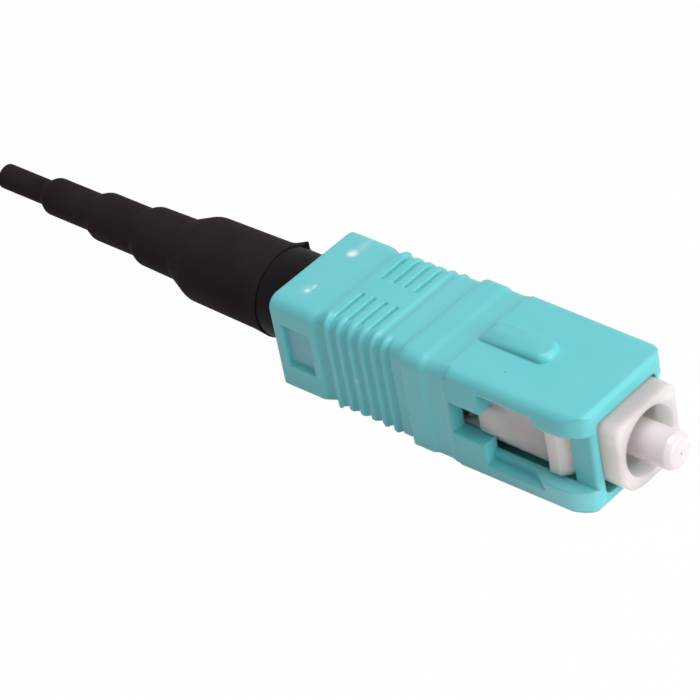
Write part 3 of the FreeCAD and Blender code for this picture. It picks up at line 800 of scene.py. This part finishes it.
housingPlastic = makePlastic("aquaMouldedPlastic", housingLook)
housing = finishedCopy("outer_housing", "outerHousing", "housing", housingPlastic)
refineFront(housing, frontSizes)
cutBehind(housing, gripSizes["cutX"], frontSizes)
addMesh(housing, makeKey("housingKey", keySizes, housingPlastic))
addMesh(housing, makeGrip("ribbedGrip", gripSizes, housingPlastic))
tidyMesh(housing)
print("outer housing done")


# Plug frame: natural plastic that lets some light through

frameLook = {
    "colour": "f9eeea", "driftColour": "f6ece4", "edgeColour": "f6efec", "edgeAmount": 0.25,
    "edgeRadius": 0.22 * mm, "grainSize": 8000.0, "driftSize": 220.0, "roughness": 0.4,
    "roughSpread": 0.05, "bump": 0.1, "bumpDepth": 0.01 * mm, "ior": 1.5,
    "specular": 0.4, "translucency": 1.0, "scatterDepth": 3.6 * mm,
    # Greener sleeve bore as a painted reflection, a yellower near edge of the nose, painted shade
    # greying its top, and warmer painted shade inside the window
    "spots": [
        # Painted reflection: a greenish tint in the sleeve bore
        ((0, 0, 0), (0, 1, 1), 3.6, 0.7, "f4f6e2"),
        ((0.6, -2.9, -0.4), (1, 1, 0.7), 1.6, 0.4, "f6ebc8"),
        # Painted shade: the nose's top darkened against the overhead lamp
        ((0.8, 0.0, 3.0), (1, 0.25, 1.5), 2.2, 1.0, "a8a2a0"),
        # Painted shade: warm shadow on the frame inside the window
        ((-6.0, -3.2, -0.9), (0.8, 1, 1.2), 3.2, 0.4, "d6bbb0"),
    ],
}
framePlastic = makePlastic("naturalMouldedPlastic", frameLook)
plugFrame = finishedCopy("plug_frame", "plugFrame", "plug", framePlastic)
print("plug frame done")


# Ferrule: corners as x, radius and rounding, from the fibre's hole round to its funnel

ferruleLook = {
    "colour": "e6dee3", "driftColour": "e1d9df", "edgeColour": "f6f3f5", "edgeAmount": 0.3,
    "edgeRadius": 0.05 * mm, "grainSize": 12000.0, "driftSize": 300.0, "roughness": 0.16,
    "roughSpread": 0.03, "bump": 0.04, "bumpDepth": 0.005 * mm, "ior": 2.0, "specular": 0.5,
    "translucency": 0.3, "scatterDepth": 0.5 * mm,
}
zirconia = makePlastic("zirconiaCeramic", ferruleLook)
ferruleCorners = (
    (3.85, 0.063, 0), (3.85, 0.45, 0.1), (3.79, 0.97, 0.12), (3.4, 1.2495, 0.12), (-3.35, 1.2495, 0),
    (-6.65, 1.2195, 0), (-6.65, 0.45, 0), (-5.45, 0.063, 0),
)
keepAs(turnedPiece("ferrulePin", ferruleCorners, zirconia), "ferrule", "ferrule_unit")
print("ferrule done")


# Boot: four steps towards the tail, and the bore that grips the barbs

bootLook = {
    "colour": "2a2326", "driftColour": "2f282b", "edgeColour": "352e31", "edgeAmount": 0.12,
    "edgeRadius": 0.06 * mm, "grainSize": 5000.0, "driftSize": 250.0, "roughness": 0.75,
    "roughSpread": 0.08, "bump": 0.2, "bumpDepth": 0.02 * mm, "ior": 1.48, "specular": 0.02,
    "translucency": 0.0, "scatterDepth": 0.1 * mm,
}
bootRubber = makePlastic("blackBootRubber", bootLook)
bootCorners = (
    (-28.38, 3.1, 0), (-28.38, 3.17, 0.02), (-29.53, 3.07, 0.3), (-35.48, 2.98, 0.3), (-37.38, 2.17, 0.08),
    (-40.68, 2.1, 0.2), (-41.48, 1.73, 0.08), (-45.28, 1.73, 0.2), (-46.18, 1.34, 0.08), (-50.18, 1.34, 0.2),
    (-50.88, 0.9, 0.08), (-55.06, 0.9, 0), (-55.2, 0.76, 0), (-55.2, 0.5, 0), (-38.1, 0.5, 0),
    (-36.1, 2.4, 0), (-29.03, 2.4, 0), (-29.03, 3.1, 0),
)
finShape = {
    "angle": 41.7, "halfWidth": 8.5, "height": 0.38, "rearX": -29.5, "frontX": -28.38, "skinRadius": 3.12,
}


def raiseFin(piece, shape):
    # Small pointed flash on the boot's mouth
    for vert in piece.data.vertices:
        x, y, z = (c / mm for c in vert.co)
        radius = math.hypot(y, z)
        if x < shape["rearX"] or radius < shape["skinRadius"]:
            continue
        turn = abs(math.degrees(math.atan2(z, y)) - shape["angle"]) / shape["halfWidth"]
        along = (x - shape["rearX"]) / (shape["frontX"] - shape["rearX"])
        grow = 1 + shape["height"] * max(1 - turn, 0.0) * along / radius
        vert.co = (vert.co.x, vert.co.y * grow, vert.co.z * grow)


boot = turnedPiece("strainBoot", bootCorners, bootRubber, segments=120)
raiseFin(boot, finShape)
keepAs(boot, "boot", "plug")


# Rear body: a cylinder and collar, and a barbed tail inside the boot

rearLook = dict(bootLook, colour="191618", driftColour="1f1b1e", roughness=0.5, bump=0.1, specular=0.05)
rearSizes = {
    "tailRadius": 2.15, "barbs": 3, "firstBarbX": -29.8, "barbPitch": 2.0, "barbLength": 1.0,
    "barbRadius": 2.37,
}


def rearCorners(sizes):
    tail = sizes["tailRadius"]
    corners = [
        (-17.8, 1.94, 0), (-17.8, 2.7, 0.1), (-25.7, 2.7, 0), (-25.7, 3.07, 0.08), (-29.0, 3.07, 0),
        (-29.0, tail, 0),
    ]
    for barb in range(sizes["barbs"]):
        barbX = sizes["firstBarbX"] - sizes["barbPitch"] * barb
        corners += [(barbX, tail, 0), (barbX, sizes["barbRadius"], 0), (barbX - sizes["barbLength"], tail, 0)]
    return corners + [(-35.9, tail, 0.1), (-35.9, 1.2, 0), (-27.1, 1.2, 0), (-27.1, 1.94, 0)]


rearPlastic = makePlastic("blackMouldedPlastic", rearLook)
keepAs(turnedPiece("rearBody", rearCorners(rearSizes), rearPlastic), "rear_body", "plug")
print("boot and rear body done")


# Inner pieces: stop ring, flange and tube as copies, and the spring as a coiled wire

metalLook = {
    "colour": "b9b8b4", "driftColour": "a9a7a2", "stretch": (1.0, 0.15, 0.15), "grainSize": 6000.0,
    "driftSize": 300.0, "roughness": 0.3, "roughSpread": 0.08, "bump": 0.15, "bumpDepth": 0.008 * mm,
}
steel = makeMetal("turnedSteel", metalLook)
nickel = makeMetal("nickelPlate", dict(metalLook, colour="c2bfb6", driftColour="b0aca0", roughness=0.24))
tubeLook = dict(frameLook, colour="ecebe4", driftColour="e4e2da", roughness=0.5)
tubePlastic = makePlastic("extrudedTube", tubeLook)
stopRing = finishedCopy("stop_ring", "stopRing", "plug", nickel)
flange = finishedCopy("ferrule_flange", "ferruleFlange", "ferrule_unit", steel)
innerTube = finishedCopy("inner_tube", "innerTube", "ferrule_unit", tubePlastic)
springSettings = {
    "Start": -12.56 * mm, "Length": 6.2 * mm, "Turns": 7.5, "Coil Radius": 1.8 * mm,
    "Wire Radius": 0.215 * mm,
}


def makeSpringTree(material):
    # Round wire swept along a helix on the ferrule axis
    tree, start, end = newGeometryTree("coiledWire", springSettings)
    get = start.outputs
    helix = addNode(tree, "GeometryNodeCurveSpiral", (-800, 200), Resolution=36)
    join(tree, get["Turns"], helix.inputs["Rotations"])
    join(tree, get["Coil Radius"], helix.inputs["Start Radius"])
    join(tree, get["Coil Radius"], helix.inputs["End Radius"])
    join(tree, get["Length"], helix.inputs["Height"])
    lay = addNode(tree, "GeometryNodeTransform", (-500, 200), Rotation=(0, math.pi / 2, 0))
    join(tree, helix.outputs["Curve"], lay.inputs["Geometry"])
    shift = addNode(tree, "ShaderNodeCombineXYZ", (-700, -100))
    join(tree, get["Start"], shift.inputs["X"])
    join(tree, shift.outputs["Vector"], lay.inputs["Translation"])
    wire = addNode(tree, "GeometryNodeCurvePrimitiveCircle", (-500, -200), Resolution=12)
    join(tree, get["Wire Radius"], wire.inputs["Radius"])
    sweep = addNode(tree, "GeometryNodeCurveToMesh", (-200, 100), Fill_Caps=True)
    join(tree, lay.outputs["Geometry"], sweep.inputs["Curve"])
    join(tree, wire.outputs["Curve"], sweep.inputs["Profile Curve"])
    closeTree(tree, sweep.outputs["Mesh"], material, end)
    return tree


coil = meshObject("coilSpring", [(0, 0, 0)], [], steel)
tidyMesh(runNodes(coil, makeSpringTree(steel), springSettings), sharpAngle=60)
keepAs(coil, "spring", "plug")
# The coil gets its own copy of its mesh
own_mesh(coil)
print("inner pieces done")


# Studio: pale floor and room, two soft lamps and the camera

studioLook = {
    "floorColour": "f8eced", "floorSize": 600 * mm, "floorGlow": 0.98, "worldStrength": 0.155,
    "lampTarget": (-12 * mm, 0, 0),
}
lampSet = {
    "overheadSoftbox": {"energy": 0.77, "size": 260 * mm, "place": (30 * mm, 32 * mm, 300 * mm)},
    "sideSoftbox": {"energy": 0.85, "size": 180 * mm, "place": (320 * mm, 20 * mm, 60 * mm)},
}


def seenByEye(tree):
    # One for camera, glossy and transmitted rays, nought for the light that falls on the part
    path = addNode(tree, "ShaderNodeLightPath", (-300, 300)).outputs
    seen = mathNode(tree, "MAXIMUM", path["Is Camera Ray"], path["Is Glossy Ray"], (-100, 300))
    return mathNode(tree, "MAXIMUM", seen, path["Is Transmission Ray"], (0, 300))


def blendToOutput(tree, outputKind, share, first, second):
    output = addNode(tree, outputKind, (600, 0))
    blend = addNode(tree, "ShaderNodeMixShader", (350, 0))
    for socket, source in zip(blend.inputs, (share, first, second)):
        join(tree, source, socket)
    join(tree, blend.outputs["Shader"], output.inputs["Surface"])


def makeFloor(look):
    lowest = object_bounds()[0].z
    half = look["floorSize"] / 2
    corners = ((-half, -half), (half, -half), (half, half), (-half, half))
    mesh = bpy.data.meshes.new("studioFloor")
    mesh.from_pydata([(x, y, lowest) for x, y in corners], [], [(0, 1, 2, 3)])
    floor = newObject("studioFloor", mesh)
    material = bpy.data.materials.new("paleFloor")
    material.use_nodes = True
    tree = material.node_tree
    tree.nodes.clear()
    diffuse = addNode(tree, "ShaderNodeBsdfDiffuse", (0, -100), Color=linearColour(look["floorColour"]))
    glow = addNode(tree, "ShaderNodeEmission", (0, 100), Color=(1, 1, 1, 1), Strength=1.0)
    share = mathNode(tree, "MULTIPLY", seenByEye(tree), look["floorGlow"], (100, 300))
    blendToOutput(tree, "ShaderNodeOutputMaterial", share, diffuse.outputs["BSDF"], glow.outputs["Emission"])
    mesh.materials.append(material)
    floor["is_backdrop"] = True


def makeRoom(look):
    world = bpy.data.worlds.new("paleRoom")
    bpy.context.scene.world = world
    world.use_nodes = True
    tree = world.node_tree
    tree.nodes.clear()
    white = (1, 1, 1, 1)
    room = addNode(tree, "ShaderNodeBackground", (0, -100), Color=white, Strength=look["worldStrength"])
    backdrop = addNode(tree, "ShaderNodeBackground", (0, 100), Color=white, Strength=1.0)
    blendToOutput(tree, "ShaderNodeOutputWorld", seenByEye(tree), room.outputs["Background"],
                  backdrop.outputs["Background"])


def softLamp(name, lamp, target):
    light = bpy.data.lights.new(name, "AREA")
    light.energy = lamp["energy"]
    light.size = lamp["size"]
    holder = newObject(name, light)
    holder.location = lamp["place"]
    holder.rotation_euler = (Vector(target) - Vector(lamp["place"])).to_track_quat("-Z", "Y").to_euler()


makeFloor(studioLook)
makeRoom(studioLook)
for lampName, lampValues in lampSet.items():
    softLamp(lampName, lampValues, studioLook["lampTarget"])

cameraSet = {
    "place": (114.02 * mm, -121.89 * mm, 136.84 * mm), "turn": (52.171, 9.204, 41.379), "lens": 183.09,
    "sensor": 36, "clipStart": 10 * mm, "clipEnd": 10,
}
cameraData = bpy.data.cameras.new("productCamera")
cameraData.lens = cameraSet["lens"]
cameraData.sensor_width = cameraSet["sensor"]
cameraData.clip_start = cameraSet["clipStart"]
cameraData.clip_end = cameraSet["clipEnd"]
camera = newObject("productCamera", cameraData)
camera.location = cameraSet["place"]
camera.rotation_euler = [math.radians(angle) for angle in cameraSet["turn"]]
bpy.context.scene.camera = camera
bpy.context.scene.view_settings.view_transform = "Standard"
print("studio and camera done")
